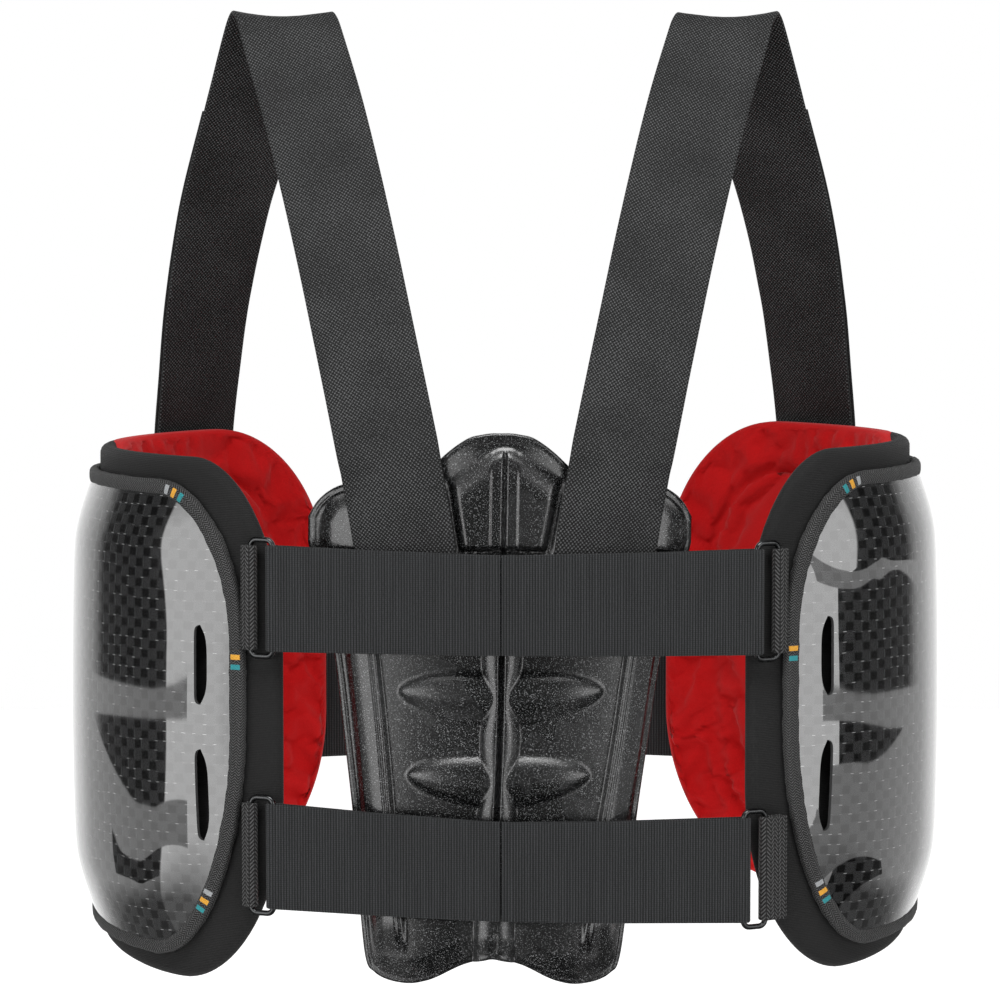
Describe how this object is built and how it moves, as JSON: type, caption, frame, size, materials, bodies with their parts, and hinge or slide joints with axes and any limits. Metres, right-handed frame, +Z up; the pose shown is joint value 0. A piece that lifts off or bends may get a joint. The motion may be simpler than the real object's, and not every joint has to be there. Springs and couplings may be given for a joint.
{
  "type": "rib protector",
  "caption": "Padded rib guard with woven-look hard side shells, a moulded back plate, ribbed rear belts through wire rings, a front closing belt and shoulder straps.",
  "frame": {"origin": "midway between the undersides of the two shoulder straps' crests, where the shoulders carry the guard", "axes": "+Z up, +Y towards the wearer's chest, +X towards the wearer's right"},
  "size_m": [0.4102, 0.2754, 0.448],
  "materials": {
    "plate": "satin moulded plastic with a fine leather grain",
    "belt": "charcoal elastic with fine upright ribs",
    "webbing": "black twill webbing",
    "strap_tail": "near-black hook-and-loop webbing",
    "ring": "gunmetal wire",
    "pad": "black knit over foam",
    "lining": "red mesh over soft foam, quilted near its edge",
    "shell": "clear coat over a plain-weave carbon look",
    "tape": "woven binding tape with grey flecks and small coloured bars"
  },
  "bodies": {
    "root": {"back_plate": "plate", "front_belt": "belt", "belt_upper_left": "belt", "ring_upper_left": "ring", "ring_tab_upper_left": "webbing", "belt_lower_left": "belt", "ring_lower_left": "ring", "ring_tab_lower_left": "webbing", "pad_left": "pad", "lining_left": "lining", "shell_left": "shell", "binding_left": "tape", "strap_left": "webbing", "strap_tail_left": "strap_tail", "belt_upper_right": "belt", "ring_upper_right": "ring", "ring_tab_upper_right": "webbing", "belt_lower_right": "belt", "ring_lower_right": "ring", "ring_tab_lower_right": "webbing", "pad_right": "pad", "lining_right": "lining", "shell_right": "shell", "binding_right": "tape", "strap_right": "webbing", "strap_tail_right": "strap_tail"}
  },
  "joints": []
}
